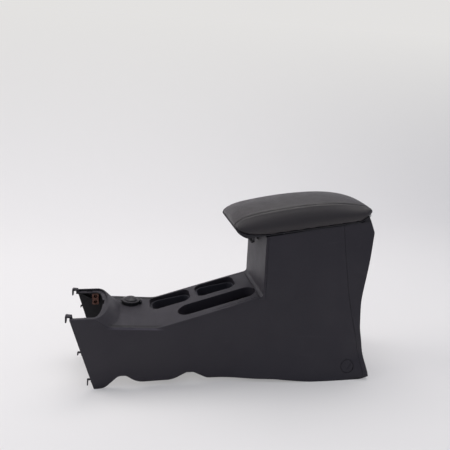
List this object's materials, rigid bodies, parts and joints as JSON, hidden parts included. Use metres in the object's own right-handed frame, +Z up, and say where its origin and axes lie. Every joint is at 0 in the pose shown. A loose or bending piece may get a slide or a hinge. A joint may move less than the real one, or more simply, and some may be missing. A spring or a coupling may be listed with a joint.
{
  "type": "car center console",
  "caption": "Moulded car center console with a padded armrest bin, cup pockets, a handbrake slot, a capped power outlet and an open collar for a shifter.",
  "frame": {"origin": "middle of the bounding box, on the floor", "axes": "+X towards the rear of the car, +Y towards the cup pockets' side, away from the handbrake slot, +Z up"},
  "size_m": [0.684, 0.2318, 0.4228],
  "materials": {
    "panel": "fine-grained moulded plastic, dark bluish charcoal",
    "cup_liner": "smooth dark moulded plastic",
    "bin_plastic": "fine-grained moulded plastic",
    "lid_shell": "coarse-grained moulded plastic",
    "vinyl": "grained charcoal vinyl over foam",
    "frame_plastic": "unpainted ribbed plastic",
    "outlet_plastic": "smooth dark plastic",
    "cap_plastic": "satin grey plastic",
    "steel": "zinc-plated steel",
    "spring_steel": "bare spring wire",
    "rubber": "soft black rubber",
    "connector": "brown moulded plastic"
  },
  "bodies": {
    "console": {"console_body": "panel", "box_front_panel": "panel", "rear_cover": "panel", "storage_bin": "bin_plastic", "bin_screws": "steel", "hinge_bracket": "steel", "hinge_screws": "steel", "hinge_pin": "steel", "hinge_cover": "lid_shell", "latch_striker": "steel", "striker_screws": "steel", "cup_holder_insert": "cup_liner", "cup_holder_screws": "steel", "outlet_bezel": "outlet_plastic", "outlet_socket": "steel", "outlet_contact": "steel", "outlet_retainer": "outlet_plastic", "outlet_cap_pin": "steel", "screw_cover_near": "panel", "screw_cover_far": "panel", "harness_connector": "connector"},
    "lid": {"lid_hinge_leaf": "steel", "lid_hinge_screws": "steel", "lid_lower_shell": "lid_shell", "lid_frame": "frame_plastic", "lid_cushion": "vinyl", "lid_screws": "steel", "lid_bumpers": "rubber", "latch_pin": "steel", "latch_spring": "spring_steel"},
    "latch": {"latch_lever": "lid_shell"},
    "outlet_cap": {"outlet_cap": "cap_plastic"}
  },
  "joints": [
    {"name": "lid_hinge", "type": "hinge", "parent": "console", "child": "lid", "pos_m": [0.32621, 0, 0.38507], "axis": [0, 1, 0], "range_deg": [0, 95]},
    {"name": "latch_pull", "type": "hinge", "parent": "lid", "child": "latch", "pos_m": [0.06867, 0, 0.3501], "axis": [0, 1, 0], "range_deg": [0, 20], "stiffness_Nm_per_rad": 0.05, "springref_deg": -17.19},
    {"name": "outlet_cap_hinge", "type": "hinge", "parent": "console", "child": "outlet_cap", "pos_m": [-0.18231, 0.047, 0.15216], "axis": [0, 1, 0], "range_deg": [0, 105]}
  ]
}
